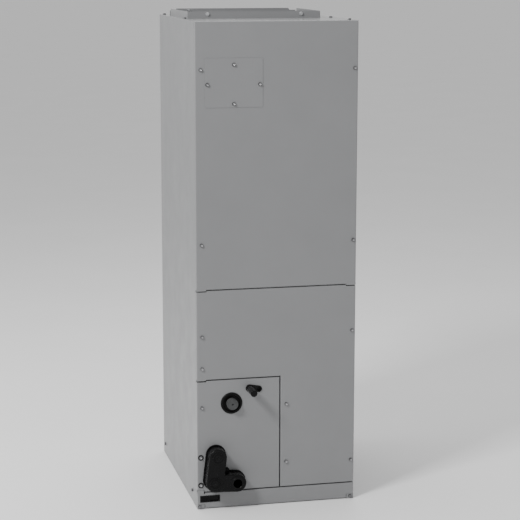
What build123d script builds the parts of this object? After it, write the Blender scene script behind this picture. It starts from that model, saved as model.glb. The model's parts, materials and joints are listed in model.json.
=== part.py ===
from build123d import *
import os
from math import atan2, cos, degrees, floor, radians, sin, sqrt

# Residential upflow air handler: a tall sheet steel cabinet with a supply duct collar on top,
# a blower and its controls behind the upper panel, a cooling coil behind the lower panel, and
# a filter slot at the floor. Millimetres, +X right, +Y to the back, +Z up. The origin is the
# centre of the cabinet's footprint on the floor.

# Cabinet
cabinet_width = 447.7
cabinet_depth = 560.4
cabinet_height = 1338.2
sheet = 1.0
flange_width = 22.0
rear_flange_width = 15.0
left_top_flange = 16.0
right_top_flange = 32.0
insulation = 12.7
fit_gap = 0.3

# Doors and covers
door_depth = 10.6
door_gap = 0.8
door_seam = 2.8
door_bend = 2.5
seam_step = 3.0
seam_step_length = 28.0
blower_panel_foot = 618.2
fitting_panel_width = 232.4
fitting_panel_top = 364.6
filter_door_top = 46.0
filter_door_foot = 1.5
door_pad = 9.0
door_pad_margin = 30.0
corner_slit = (3.0, 13.0, 5.0)

# Breaker cover on the blower access panel
cover_width = 157.5
cover_height = 130.5
cover_left = 26.5
cover_drop = 227.2
breaker_hole_width = 124.0
breaker_hole_height = 84.0

# Supply duct collar
duct_left = 18.0
duct_front = 200.2
duct_width = 376.0
duct_length = 286.0
collar_height = 19.1
collar_skirt = 20.0
collar_slant = 5.0
collar_side_length = 270.0
collar_low_height = 13.5
collar_screw_inset = 55.5
collar_screw_height = 12.0

# Base, filter slot and rails
base_height = 13.0
base_ledge = 28.0
base_lip = 12.0
corner_tab = 20.0
filter_width = 397.0
filter_length = 495.0
filter_thickness = 22.0
filter_clearance = 0.6
filter_border = 14.0
pleat_count = 26
pleat_wall = 1.6
rail_leg = 24.0
coil_rail_height = 44.0
coil_rail_leg = 32.0
coil_rail_upright = 18.0
mid_rail_foot = 598.0
mid_rail_height = 36.0
mid_rail_leg = 22.0

# Blower deck, plenum and heater cover
deck_drop = 258.2
deck_flange = 25.0
heater_hole = 130.0
heater_hole_left = 48.0
heater_hole_rise = 45.0
heater_plate_margin = 14.0

# Blower housing: a volute of three arcs round the wheel
outlet_left = -172.5
outlet_right = 117.5
volute_left_radius = 195.0
volute_bottom_radius = 170.0
volute_right_radius = 150.0
volute_drop = 190.0
housing_width = 228.0
housing_flange = 12.0
inlet_radius = 107.0
inlet_curl = 11.0

# Blower wheel, shaft and motor
wheel_radius = 127.0
wheel_margin = 12.5
wheel_drop = 10.0
wheel_shift = 7.5
blade_depth = 22.0
blade_count = 36
blade_thickness = 1.2
rim_width = 6.0
disc_thickness = 3.0
hub_radius = 16.0
hub_length = 34.0
shaft_radius = 6.35
running_clearance = 0.03
motor_radius = 70.0
motor_length = 145.0
motor_reach = 99.0
band_width = 25.0
band_thickness = 1.6
arm_radius = 4.0
arm_reach = 132.0
shaft_engagement = 80.0

# Cooling coil
slab_thickness = 44.0
slab_length = 490.0
slab_depth = 420.0
slab_front = -205.0
slab_tilt = 14.5
apex_gap = 6.0
coil_plate = 1.2
tube_radius = 4.76
tube_pitch = 25.4
bend_reach = 8.0

# Drain pans and drain connector
pan_wall = 3.0
pan_height = 45.0
pan_inner_height = 30.0
pan_side_gap = 2.0
pan_front = -262.0
pan_back = 246.0
pan_hole_width = 190.0
pan_hole_front = -190.0
pan_hole_back = 200.0
side_pan_foot = 95.0
side_pan_height = 445.0
side_pan_depth = 44.0
drain_plate = 4.0
drain_reach = 38.0
drain_inset = 3.5
drain_top = (51.5, 155.0)
drain_corner = (43.0, 83.0)
drain_right = (106.0, 79.5)
drain_lobe = 28.0
drain_port_radius = 12.1
drain_port_depth = 20.0
drain_spigot_radius = 12.0
drain_hole_gap = 1.0

# Refrigerant connections
suction_spot = (96.4, 299.0)
suction_radius = 11.1
suction_reach = 16.0
suction_grommet_radius = 30.0
suction_hole_radius = 27.0
suction_cap_radius = 15.5
suction_cap_length = 16.0
liquid_spot = (147.0, 338.0)
liquid_pocket_spot = (173.0, 335.0)
liquid_radius = 4.76
liquid_reach = 57.5
liquid_grommet_radius = 10.6
liquid_pocket_radius = 9.0
liquid_cap_radius = 9.3
liquid_cap_length = 50.0
cap_clearance = 0.35
cap_hole_radius = 2.6
cap_wall = 2.5
header_offset = 37.0
header_foot = 122.0
header_top = 450.0
header_bend = 30.0
feeder_foot = 170.0
feeder_pitch = 65.0
feeder_bend = 10.0

# Latch of the filter door
latch_left = 7.3
latch_width = 55.6
latch_foot = 19.5
latch_height = 18.5
latch_proud = 1.6
latch_depth = 9.0
latch_wall = 1.6
latch_slider_width = 25.2
latch_pocket = 4.2

# Screws with a hexagon head and a washer face
screw_washer_radius = 5.2
screw_washer = 1.0
screw_hex = 7.9
screw_head = 3.4
screw_shank = 2.1
screw_length = 14.0
screw_hole = 2.6

# Places that follow from the sizes above
half_width = cabinet_width / 2
front_y = -cabinet_depth / 2
back_y = cabinet_depth / 2
wall_front = front_y + door_depth + door_gap
inside_front = wall_front + sheet
inside_back = back_y - 2 * sheet
wall_top = cabinet_height - sheet
inner_half = half_width - sheet
lined_half = inner_half - insulation
coil_panel_top = blower_panel_foot - door_seam
fitting_panel_foot = filter_door_top + door_seam
deck_height = cabinet_height - deck_drop
heater_hole_foot = deck_height + heater_hole_rise
volute_left_height = deck_height - volute_drop
cover_foot = cabinet_height - cover_drop
wheel_width = housing_width - 2 * wheel_margin
duct_x0 = duct_left - half_width
duct_x1 = duct_x0 + duct_width
duct_y0 = front_y + duct_front
duct_y1 = duct_y0 + duct_length
tilt_sin = sin(radians(slab_tilt))
tilt_cos = cos(radians(slab_tilt))
pan_floor = coil_rail_height + sheet + pan_wall
slab_foot_x = apex_gap / 2 + slab_thickness / 2 * tilt_cos + slab_length * tilt_sin
slab_foot_z = pan_floor + fit_gap + slab_thickness / 2 * tilt_sin
slab_mid_y = slab_front + slab_depth / 2
wheel_x = outlet_left + volute_left_radius + wheel_shift
wheel_z = volute_left_height - wheel_drop
housing_mid_y = (duct_y0 + duct_y1) / 2
housing_front = housing_mid_y - housing_width / 2
housing_back = housing_mid_y + housing_width / 2
motor_front = housing_front - motor_reach
front = Plane(origin=(0, front_y, 0), x_dir=(1, 0, 0), z_dir=(0, -1, 0))

standing = (Align.CENTER, Align.CENTER, Align.MIN)
hanging = (Align.CENTER, Align.CENTER, Align.MAX)


def across(from_left):
    """The X of a place measured from the cabinet's left edge."""
    return from_left - half_width


def block(x, y, z, mode=Mode.ADD):
    """A rectangular block between two values on each axis."""
    with Locations(((x[0] + x[1]) / 2, (y[0] + y[1]) / 2, (z[0] + z[1]) / 2)):
        Box(abs(x[1] - x[0]), abs(y[1] - y[0]), abs(z[1] - z[0]), mode=mode)


def rod(radius, start, end, mode=Mode.ADD):
    """A round bar between two points."""
    run = Vector(*end) - Vector(*start)
    with Locations(Plane(origin=start, z_dir=run)):
        Cylinder(radius, run.length, align=standing, mode=mode)


def pipe(radius, points, bends):
    """A round pipe of straight runs joined by bends of the given radii."""
    with BuildLine(mode=Mode.PRIVATE) as route:
        FilletPolyline(*points, radius=bends)
    with BuildSketch(Plane(origin=route.line @ 0, z_dir=route.line % 0), mode=Mode.PRIVATE) as bore:
        Circle(radius)
    sweep(bore.sketch, path=route.line)


def slab_point(side, outward, up, y):
    """A point of the leaning coil slab, from its foot, in the slab's own directions."""
    x = slab_foot_x - up * tilt_sin + outward * tilt_cos
    z = slab_foot_z + up * tilt_cos + outward * tilt_sin
    return (side * x, y, z)


def save(part, name):
    """Label a finished piece and write it to its own file."""
    part.label = name
    export_step(part, "parts/" + name + ".step")


os.makedirs("parts", exist_ok=True)

# The hexagon head screw that every sheet metal joint uses, head up along +Z
with BuildPart(mode=Mode.PRIVATE) as screw:
    Cylinder(screw_washer_radius, screw_washer, align=standing)
    Cylinder(screw_shank, screw_length, align=hanging)
    with BuildSketch(Plane.XY.offset(screw_washer)):
        RegularPolygon(screw_hex / 2, 6, major_radius=False)
    extrude(amount=screw_head)
    fillet(screw.faces().sort_by(Axis.Z)[-1].edges(), radius=0.5)


def screws(points, outward):
    """Copies of the screw, seated at each point with their heads outward."""
    with Locations([Plane(origin=point, z_dir=outward) for point in points]):
        add(screw.part)


def holes(points, outward, radius=screw_hole, depth=4 * sheet):
    """Clearance holes for screws, through the sheet at each point."""
    with Locations([Plane(origin=point, z_dir=outward) for point in points]):
        Cylinder(radius, 2 * depth, mode=Mode.SUBTRACT)


# Where the screws of the front stand, from the left edge and the floor
right_screw = cabinet_width - 8.9
upper_screw = cabinet_height - 127.2
lower_screw = blower_panel_foot + 123.3
blower_panel_spots = [(u, z) for u in (15.3, right_screw) for z in (upper_screw, lower_screw)]
coil_screw = coil_panel_top - 127.4
coil_panel_spots = [(15.5, coil_screw), (15.0, coil_screw - 89.0), (right_screw, coil_screw - 1.0)]
coil_panel_spots += [(right_screw, 114.0)]
stile_spots = [(fitting_panel_width + 19.3, 287), (fitting_panel_width + 19.3, 121)]
fitting_panel_spots = [(14.0, 289), (9.7, 148), (9.7, 68.5)]
cover_spots = [
    (cover_left + cover_width / 2, cover_foot + cover_height - 17.5),
    (cover_left + cover_width / 2, cover_foot + 9.0),
    (cover_left + 6.4, cover_foot + cover_height / 2 - 4.5),
    (cover_left + cover_width - 8.0, cover_foot + cover_height / 2 - 4.5),
]
base_spots = [(7.0, 6.6), (cabinet_width - 9.5, 6.6)]


def on_front(spots, y=front_y):
    """Points on a plane of the front, from places measured from the left edge and the floor."""
    return [(across(u), y, z) for u, z in spots]


# Places of the cabinet's other screws
top_screw_points = [
    (-half_width + 9.0, duct_y0 - 6.0, cabinet_height),
    (half_width - 24.7, duct_y0 - 6.0, cabinet_height),
    (half_width - 17.7, front_y + 29.0, cabinet_height),
    (-half_width + 9.0, back_y - 30.0, cabinet_height),
    (half_width - 17.7, back_y - 30.0, cabinet_height),
]
side_screw_spots = [(front_y + 72.5, base_height + 20.0), (back_y - 33.4, base_height + 20.0)]
back_screw_heights = [30.0 + step * (cabinet_height - 70.0) / 5 for step in range(6)]
back_screw_points = [
    (side * (half_width - rear_flange_width / 2 - sheet), back_y, z)
    for side in (-1, 1)
    for z in back_screw_heights
]
collar_screw_points = [
    (duct_x0 + collar_screw_inset, duct_y0, cabinet_height + collar_screw_height),
    (duct_x1 - collar_screw_inset, duct_y0, cabinet_height + collar_screw_height),
    (duct_x0 + collar_screw_inset, duct_y1 - sheet, cabinet_height + collar_screw_height),
]


# Side panels: a wall with a front flange behind the doors, a rear flange and a top flange
def side_panel(side):
    """One side wall of the cabinet with its three flanges."""
    with BuildPart() as panel:
        block((side * inner_half, side * half_width), (wall_front, inside_back + sheet), (0, wall_top))
        block(
            (side * (half_width - flange_width), side * half_width),
            (wall_front, inside_front),
            (base_height + fit_gap, wall_top),
        )
        block(
            (side * (half_width - rear_flange_width), side * half_width),
            (inside_back, inside_back + sheet),
            (0, wall_top),
        )
        top_flange = left_top_flange if side < 0 else right_top_flange
        block(
            (side * (half_width - top_flange), side * half_width),
            (wall_front, inside_back + sheet),
            (wall_top - sheet, wall_top),
        )
        front_spots = blower_panel_spots + coil_panel_spots + fitting_panel_spots
        own = [spot for spot in front_spots if side * across(spot[0]) > 0]
        holes(on_front(own, wall_front), (0, -1, 0))
        holes([p for p in top_screw_points if side * p[0] > 0], (0, 0, 1))
        holes([p for p in back_screw_points if side * p[0] > 0], (0, 1, 0))
        holes([(side * half_width, y, z) for y, z in side_screw_spots], (side, 0, 0))
    return panel.part


left_side_panel = side_panel(-1)
right_side_panel = side_panel(1)
save(left_side_panel, "left_side_panel")
save(right_side_panel, "right_side_panel")

# Back panel
with BuildPart() as back_panel:
    block((-half_width, half_width), (back_y - sheet, back_y), (0, wall_top))
    holes(back_screw_points, (0, 1, 0))
save(back_panel.part, "back_panel")

# Top panel with the supply opening
with BuildPart() as top_panel:
    block((-half_width, half_width), (wall_front, back_y), (wall_top, cabinet_height))
    block((duct_x0, duct_x1), (duct_y0, duct_y1), (wall_top, cabinet_height), mode=Mode.SUBTRACT)
    holes(top_screw_points, (0, 0, 1))
save(top_panel.part, "top_panel")

# Supply duct collar: four strips stand in the opening
collar_foot = wall_top - collar_skirt
collar_top = cabinet_height + collar_height
collar_low = cabinet_height + collar_low_height

with BuildPart() as duct_collar_ends:
    with BuildSketch(Plane(origin=(0, duct_y0, 0), x_dir=(1, 0, 0), z_dir=(0, -1, 0))):
        with BuildLine():
            Polyline(
                (duct_x0, collar_foot),
                (duct_x1, collar_foot),
                (duct_x1, cabinet_height),
                (duct_x1 - collar_slant, collar_top),
                (duct_x0, collar_top),
                close=True,
            )
        make_face()
    extrude(amount=-sheet)
    with BuildSketch(Plane(origin=(0, duct_y1 - sheet, 0), x_dir=(1, 0, 0), z_dir=(0, -1, 0))):
        with BuildLine():
            Polyline(
                (duct_x0, collar_foot),
                (duct_x1, collar_foot),
                (duct_x1, collar_low),
                (duct_x1 - 18.0, collar_low),
                (duct_x1 - 22.5, collar_top),
                (duct_x0 + 19.5, collar_top),
                (duct_x0 + 15.0, collar_low),
                (duct_x0, collar_low),
                close=True,
            )
        make_face()
    extrude(amount=-sheet)
    holes(collar_screw_points, (0, -1, 0), radius=screw_shank + fit_gap, depth=2 * sheet)
save(duct_collar_ends.part, "duct_collar_ends")

with BuildPart() as duct_collar_sides:
    side_y = (duct_y0 + sheet, duct_y0 + sheet + collar_side_length)
    for x in (duct_x0, duct_x1 - sheet):
        block((x, x + sheet), side_y, (collar_foot, collar_top))
save(duct_collar_sides.part, "duct_collar_sides")

# Base frame: a channel ring inside the walls, with a tab that fills each front corner
with BuildPart() as base_frame:
    block((-inner_half, inner_half), (wall_front, inside_back), (0, base_height))
    block(
        (-inner_half + sheet, inner_half - sheet),
        (inside_front, inside_back - sheet),
        (sheet, base_height - sheet),
        mode=Mode.SUBTRACT,
    )
    block(
        (-inner_half + base_ledge, inner_half - base_ledge),
        (inside_front + base_ledge, inside_back - base_ledge),
        (base_height - sheet, base_height),
        mode=Mode.SUBTRACT,
    )
    block(
        (-inner_half + base_lip, inner_half - base_lip),
        (inside_front + base_lip, inside_back - base_lip),
        (0, sheet),
        mode=Mode.SUBTRACT,
    )
    for side in (-1, 1):
        tab_outer = side * half_width
        tab_inner = side * (half_width - corner_tab)
        tab_front = front_y + 0.4
        block((tab_outer, tab_inner), (tab_front, tab_front + sheet), (0, base_height))
        block((tab_outer, side * inner_half), (tab_front, wall_front - fit_gap), (0, base_height))
        block((tab_inner, tab_inner + side * sheet), (tab_front, wall_front), (0, base_height))
        block((side * inner_half, tab_inner), (tab_front, wall_front), (base_height - sheet, base_height))
    holes(on_front(base_spots), (0, -1, 0), depth=screw_length + sheet)
save(base_frame.part, "base_frame")

# Filter rails: a channel on each side, on the base frame's ledge
rail_gap = filter_thickness + 2 * filter_clearance
rail_front = inside_front + fit_gap
rail_back = inside_back - fit_gap
with BuildPart() as filter_rails:
    for side in (-1, 1):
        rail_foot = base_height
        rail_inside = rail_foot + sheet
        rail_top = rail_inside + rail_gap
        outer = side * inner_half
        inner = side * (inner_half - rail_leg)
        block((outer, outer - side * sheet), (rail_front, rail_back), (rail_foot, rail_top + sheet))
        block((outer, inner), (rail_front, rail_back), (rail_foot, rail_inside))
        block((outer, inner), (rail_front, rail_back), (rail_top, rail_top + sheet))
        holes([(side * half_width, y, z) for y, z in side_screw_spots], (side, 0, 0))
save(filter_rails.part, "filter_rails")

# Coil rails: an angle on each side that carries the drain pan
with BuildPart() as coil_rails:
    for side in (-1, 1):
        outer = side * inner_half
        inner = side * (inner_half - coil_rail_leg)
        rail_y = (rail_front, rail_back)
        upright_top = coil_rail_height + coil_rail_upright
        block((outer, outer - side * sheet), rail_y, (coil_rail_height, upright_top))
        block((outer, inner), rail_y, (coil_rail_height, coil_rail_height + sheet))
save(coil_rails.part, "coil_rails")

# Cross rail behind the seam of the two access panels
mid_rail_top = mid_rail_foot + mid_rail_height
with BuildPart() as mid_rail:
    block((-inner_half, inner_half), (inside_front, inside_front + sheet), (mid_rail_foot, mid_rail_top))
    for z in (mid_rail_foot, mid_rail_top - sheet):
        block((-inner_half, inner_half), (inside_front, inside_front + mid_rail_leg), (z, z + sheet))
save(mid_rail.part, "mid_rail")

# Insulation on the side walls and the back, below and above the blower deck
lining_foot = coil_rail_height + coil_rail_upright + fit_gap
lining_front = inside_front + mid_rail_leg + fit_gap
deck_under = deck_height - deck_flange - fit_gap
deck_over = deck_height + sheet
lining_top = cabinet_height - screw_length - 2 * sheet
back_lining_front = inside_back - insulation
with BuildPart() as side_insulation:
    for side in (-1, 1):
        lining_x = (side * inner_half, side * lined_half)
        block(lining_x, (lining_front, back_lining_front), (lining_foot, deck_under))
        block(lining_x, (duct_y0, back_lining_front), (deck_over, lining_top))
save(side_insulation.part, "side_insulation")

with BuildPart() as back_insulation:
    back_x = (-inner_half, inner_half)
    back_lining = (back_lining_front, inside_back)
    block(back_x, back_lining, (lining_foot, deck_under))
    block(back_x, back_lining, (deck_over, lining_top))
    holes(back_screw_points, (0, 1, 0), depth=screw_length + sheet)
save(back_insulation.part, "back_insulation")

# Blower deck with the outlet opening
lead_x = wheel_x
lead_y = motor_front + 25.0
lead_radius = 3.0
lead_hole_radius = 9.0
with BuildPart() as blower_deck:
    deck_front = inside_front + fit_gap
    block((-inner_half, inner_half), (deck_front, inside_back), (deck_height, deck_over))
    for side in (-1, 1):
        leg = (side * inner_half, side * (inner_half - sheet))
        block(leg, (deck_front, inside_back), (deck_height - deck_flange, deck_height))
    deck_lip = (deck_height - deck_flange, deck_height)
    block((-inner_half, inner_half), (deck_front, deck_front + sheet), deck_lip)
    block(
        (outlet_left + sheet, outlet_right - sheet),
        (housing_front, housing_back),
        (deck_height, deck_over),
        mode=Mode.SUBTRACT,
    )
    holes([(lead_x, lead_y, deck_over)], (0, 0, 1), radius=lead_hole_radius)
save(blower_deck.part, "blower_deck")

# Plenum wall between the supply plenum and the control compartment
plenum_front = duct_y0 - sheet
heater_x = (across(heater_hole_left), across(heater_hole_left) + heater_hole)
heater_z = (heater_hole_foot, heater_hole_foot + heater_hole)
heater_plate_x = (heater_x[0] - heater_plate_margin, heater_x[1] + heater_plate_margin)
heater_plate_z = (heater_z[0] - heater_plate_margin, heater_z[1] + heater_plate_margin)
heater_screw_inset = heater_plate_margin / 2
heater_screw_points = [
    (x, plenum_front - sheet, z)
    for x in (heater_plate_x[0] + heater_screw_inset, heater_plate_x[1] - heater_screw_inset)
    for z in (heater_plate_z[0] + heater_screw_inset, heater_plate_z[1] - heater_screw_inset)
]
with BuildPart() as plenum_wall:
    block((-inner_half, inner_half), (plenum_front, duct_y0), (deck_over, wall_top - sheet))
    block(heater_x, (plenum_front, duct_y0), heater_z, mode=Mode.SUBTRACT)
    foot_y = (plenum_front - base_lip, plenum_front)
    block((-inner_half, inner_half), foot_y, (deck_over, deck_over + sheet))
    holes(heater_screw_points, (0, -1, 0))
save(plenum_wall.part, "plenum_wall")

with BuildPart() as heater_blank_plate:
    block(heater_plate_x, (plenum_front - sheet, plenum_front), heater_plate_z)
    holes(heater_screw_points, (0, -1, 0), radius=screw_shank + fit_gap)
    block(
        (heater_x[0] + 20.0, heater_x[1] - 20.0),
        (plenum_front - sheet - 6.0, plenum_front - sheet),
        (heater_z[0] + 60.0, heater_z[0] + 60.0 + sheet),
    )
save(heater_blank_plate.part, "heater_blank_plate")

# Control board on its standoffs, with its relays, fuse and plug socket
board_width = 120.0
board_side_gap = 28.0
board_x = (half_width - board_side_gap - board_width, half_width - board_side_gap)
board_z = (deck_over + 120.0, deck_over + 210.0)
board_gap = 8.0
board_thickness = 1.6
board_face = plenum_front - board_gap - board_thickness
lead_end_z = board_z[0] + 20.0
socket_size = 14.0
with BuildPart() as control_board:
    block(board_x, (board_face, board_face + board_thickness), board_z)
    for x in (board_x[0] + 6.0, board_x[1] - 6.0):
        for z in (board_z[0] + 6.0, board_z[1] - 6.0):
            rod(3.0, (x, board_face + board_thickness, z), (x, plenum_front, z))
    for step in range(3):
        relay_x = board_x[0] + 30.0 + 28.0 * step
        relay_z = (board_z[1] - 40.0, board_z[1] - 12.0)
        block((relay_x, relay_x + 20.0), (board_face - 16.0, board_face), relay_z)
    block(
        (board_x[0], board_x[0] + socket_size),
        (lead_y - socket_size / 2, board_face),
        (lead_end_z - socket_size / 2, lead_end_z + socket_size / 2),
    )
    for step in range(6):
        tab_x = board_x[0] + 36.0 + 12.0 * step
        block((tab_x, tab_x + 6.0), (board_face - 9.0, board_face), (board_z[0] + 10.0, board_z[0] + 16.0))
save(control_board.part, "control_board")

# Low voltage transformer on its foot plate
transformer_x = (board_x[0] - 16.0, board_x[0] + 46.0)
transformer_z = (deck_over + sheet + 24.0, deck_over + sheet + 76.0)
transformer_ear = 14.0
with BuildPart() as transformer:
    block(transformer_x, (plenum_front - 33.0, plenum_front - sheet), transformer_z)
    fillet(transformer.edges().filter_by(Axis.Y), radius=3.0)
    block(
        (transformer_x[0] + 14.0, transformer_x[1] - 14.0),
        (plenum_front - 45.0, plenum_front - 33.0),
        (transformer_z[0] + 9.0, transformer_z[1] - 9.0),
    )
    fillet(transformer.faces().sort_by(Axis.Y)[0].edges(), radius=3.0)
    ears_z = (transformer_z[0] - transformer_ear, transformer_z[1] + transformer_ear)
    block(transformer_x, (plenum_front - sheet, plenum_front), ears_z)
save(transformer.part, "transformer")

# Motor capacitor in its strap
capacitor_x = board_x[1] - 26.0
capacitor_radius = 22.0
capacitor_height = 78.0
capacitor_foot = deck_over + sheet + 14.0
capacitor_y = plenum_front - capacitor_radius - sheet
with BuildPart() as capacitor:
    with Locations((capacitor_x, capacitor_y, capacitor_foot)):
        Cylinder(capacitor_radius, capacitor_height, align=standing)
    rim_edges = capacitor.edges().filter_by(GeomType.CIRCLE)
    fillet(rim_edges, radius=2.0)
    for tab_shift in (-8.0, 8.0):
        top = capacitor_foot + capacitor_height
        block(
            (capacitor_x + tab_shift - 3.0, capacitor_x + tab_shift + 3.0),
            (capacitor_y - 0.5, capacitor_y + 0.5),
            (top - 0.5, top + 9.0),
        )
save(capacitor.part, "capacitor")

strap_z = capacitor_foot + capacitor_height / 2
with BuildPart() as capacitor_strap:
    with BuildSketch(Plane.XY.offset(strap_z - 6.0)):
        with Locations((capacitor_x, capacitor_y)):
            Circle(capacitor_radius + sheet)
            with Locations((0, capacitor_radius + sheet / 2)):
                Rectangle(2 * capacitor_radius + 28.0, sheet)
            Circle(capacitor_radius + 0.02, mode=Mode.SUBTRACT)
    extrude(amount=12.0)
save(capacitor_strap.part, "capacitor_strap")

# Terminal block for the supply wires
block_left = 212.0
block_width = 50.0
block_x = (across(block_left), across(block_left + block_width))
block_z = (deck_over + 40.0, deck_over + 66.0)
with BuildPart() as terminal_block:
    block(block_x, (plenum_front - 22.0, plenum_front), block_z)
    chamfer(terminal_block.faces().sort_by(Axis.Y)[0].edges().filter_by(Axis.X), length=4.0)
    for step in range(3):
        centre_x = block_x[0] + 10.0 + 15.0 * step
        rod(
            4.2,
            (centre_x, plenum_front - 22.0, sum(block_z) / 2),
            (centre_x, plenum_front - 14.0, sum(block_z) / 2),
            mode=Mode.SUBTRACT,
        )
save(terminal_block.part, "terminal_block")


# Blower housing
def volute(inset):
    """The closed outline of the housing's side, drawn in by a distance."""
    left = outlet_left + inset
    right = outlet_right - inset
    left_r = volute_left_radius - inset
    bottom_r = volute_bottom_radius - inset
    right_r = volute_right_radius - inset
    middle_x = outlet_left + volute_left_radius
    bottom_z = volute_left_height - volute_left_radius + volute_bottom_radius
    right_x = middle_x + volute_bottom_radius - volute_right_radius
    cutoff_z = bottom_z + sqrt(right_r**2 - (right - right_x) ** 2)
    Line((left, deck_height), (left, volute_left_height))
    CenterArc((middle_x, volute_left_height), left_r, 180, 90)
    CenterArc((middle_x, bottom_z), bottom_r, 270, 90)
    ThreePointArc(
        (right_x + right_r, bottom_z),
        (right_x + right_r * cos(radians(30)), bottom_z + right_r * sin(radians(30))),
        (right, cutoff_z),
    )
    Line((right, cutoff_z), (right, deck_height))
    Line((right, deck_height), (left, deck_height))


def side_plane(y):
    """A plane square to the wheel's shaft, with X and Z as its directions and its normal to -Y."""
    return Plane(origin=(0, y, 0), x_dir=(1, 0, 0), z_dir=(0, -1, 0))


with BuildPart() as blower_scroll:
    with BuildSketch(side_plane(housing_back)):
        with BuildLine():
            volute(0)
        make_face()
        with BuildLine():
            volute(sheet)
        make_face(mode=Mode.SUBTRACT)
        lip_z = deck_height - sheet / 2
        with Locations((outlet_left - housing_flange / 2, lip_z)):
            Rectangle(housing_flange, sheet)
        with Locations((outlet_right + housing_flange / 2, lip_z)):
            Rectangle(housing_flange, sheet)
    extrude(amount=housing_width)
save(blower_scroll.part, "blower_scroll")

# The plates on the housing's ends, each with an inlet curled into the housing
wheel_axis = Axis((wheel_x, 0, wheel_z), (0, 1, 0))
with BuildPart() as inlet_plates:
    for plate_y, outward in ((housing_front, -1), (housing_back + sheet, 1)):
        with BuildSketch(side_plane(plate_y)):
            with BuildLine():
                volute(0)
            make_face()
            with Locations((wheel_x, wheel_z)):
                Circle(inlet_radius + inlet_curl, mode=Mode.SUBTRACT)
        extrude(amount=sheet)
        outer_y = plate_y - sheet if outward < 0 else plate_y
        curl_y = outer_y - outward * inlet_curl
        with BuildSketch(Plane(origin=(wheel_x, 0, wheel_z), x_dir=(1, 0, 0), z_dir=(0, 0, 1))):
            with BuildLine():
                start_angle = 180 if outward < 0 else 90
                curl_r = inlet_radius + inlet_curl
                outside = CenterArc((curl_r, curl_y), inlet_curl, start_angle, 90)
                inside = CenterArc((curl_r, curl_y), inlet_curl - sheet, start_angle, 90)
                Line(outside @ 0, inside @ 0)
                Line(outside @ 1, inside @ 1)
            make_face()
        revolve(axis=wheel_axis)
save(inlet_plates.part, "inlet_plates")

# Blower wheel: forward curved blades from a disc with a hub to a rim at each end
wheel_back = housing_mid_y + wheel_width / 2
blade_root = wheel_radius - blade_depth
with BuildLine():
    blade_line = ThreePointArc(
        (blade_root + 1.0, 0),
        (blade_root + blade_depth / 2, blade_depth * 0.13),
        (wheel_radius - 1.0, blade_depth * 0.5),
    )
wheel_front = wheel_back - wheel_width
disc_y = (housing_mid_y - disc_thickness / 2, housing_mid_y + disc_thickness / 2)
with BuildPart() as wheel_blades:
    blade_runs = ((wheel_back - rim_width, disc_y[1]), (disc_y[0], wheel_front + rim_width))
    for blade_back, blade_front in blade_runs:
        with BuildSketch(side_plane(blade_back)):
            with Locations((wheel_x, wheel_z)):
                with PolarLocations(0, blade_count):
                    SlotArc(blade_line, blade_thickness)
        extrude(amount=blade_back - blade_front)
save(wheel_blades.part, "wheel_blades")

with BuildPart() as wheel_rims:
    for y in (wheel_back, wheel_front + rim_width):
        with BuildSketch(side_plane(y)):
            with Locations((wheel_x, wheel_z)):
                Circle(wheel_radius)
                Circle(blade_root, mode=Mode.SUBTRACT)
        extrude(amount=rim_width)
save(wheel_rims.part, "wheel_rims")

with BuildPart() as wheel_disc:
    rod(wheel_radius - 2.0, (wheel_x, disc_y[0], wheel_z), (wheel_x, disc_y[1], wheel_z))
    hub_back = housing_mid_y + hub_length / 2
    hub_ends = [(wheel_x, y, wheel_z) for y in (housing_mid_y - hub_length / 2, hub_back)]
    rod(hub_radius, *hub_ends)
    rod(shaft_radius + 0.02, *hub_ends, mode=Mode.SUBTRACT)
save(wheel_disc.part, "wheel_disc")

# Motor shaft, held in the motor's bore
motor_back = motor_front + motor_length
shaft_front = motor_back - shaft_engagement
with BuildPart() as motor_shaft:
    rod(shaft_radius, (wheel_x, shaft_front, wheel_z), (wheel_x, hub_back + 8.0, wheel_z))
    chamfer(motor_shaft.faces().sort_by(Axis.Y)[-1].edges(), length=0.8)
save(motor_shaft.part, "motor_shaft")

# Motor: a shell with stepped end bells and cooling slots
with BuildPart() as motor_shell:
    with BuildSketch(Plane(origin=(wheel_x, 0, wheel_z), x_dir=(1, 0, 0), z_dir=(0, 0, 1))):
        with BuildLine():
            Polyline(
                (0, motor_front),
                (motor_radius - 22.0, motor_front),
                (motor_radius - 6.0, motor_front + 6.0),
                (motor_radius - 6.0, motor_front + 14.0),
                (motor_radius, motor_front + 14.0),
                (motor_radius, motor_back - 14.0),
                (motor_radius - 6.0, motor_back - 14.0),
                (motor_radius - 6.0, motor_back - 6.0),
                (motor_radius - 22.0, motor_back),
                (0, motor_back),
                close=True,
            )
        make_face()
    revolve(axis=wheel_axis)
    bore_radius = shaft_radius + running_clearance
    rod(
        bore_radius,
        (wheel_x, shaft_front - fit_gap, wheel_z),
        (wheel_x, motor_back, wheel_z),
        mode=Mode.SUBTRACT,
    )
    with BuildSketch(side_plane(motor_front + 3.0)):
        with Locations((wheel_x, wheel_z)):
            with PolarLocations(motor_radius - 34.0, 12):
                SlotOverall(20.0, 4.0)
    extrude(amount=8.0, mode=Mode.SUBTRACT)
save(motor_shell.part, "motor_shell")

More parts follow.
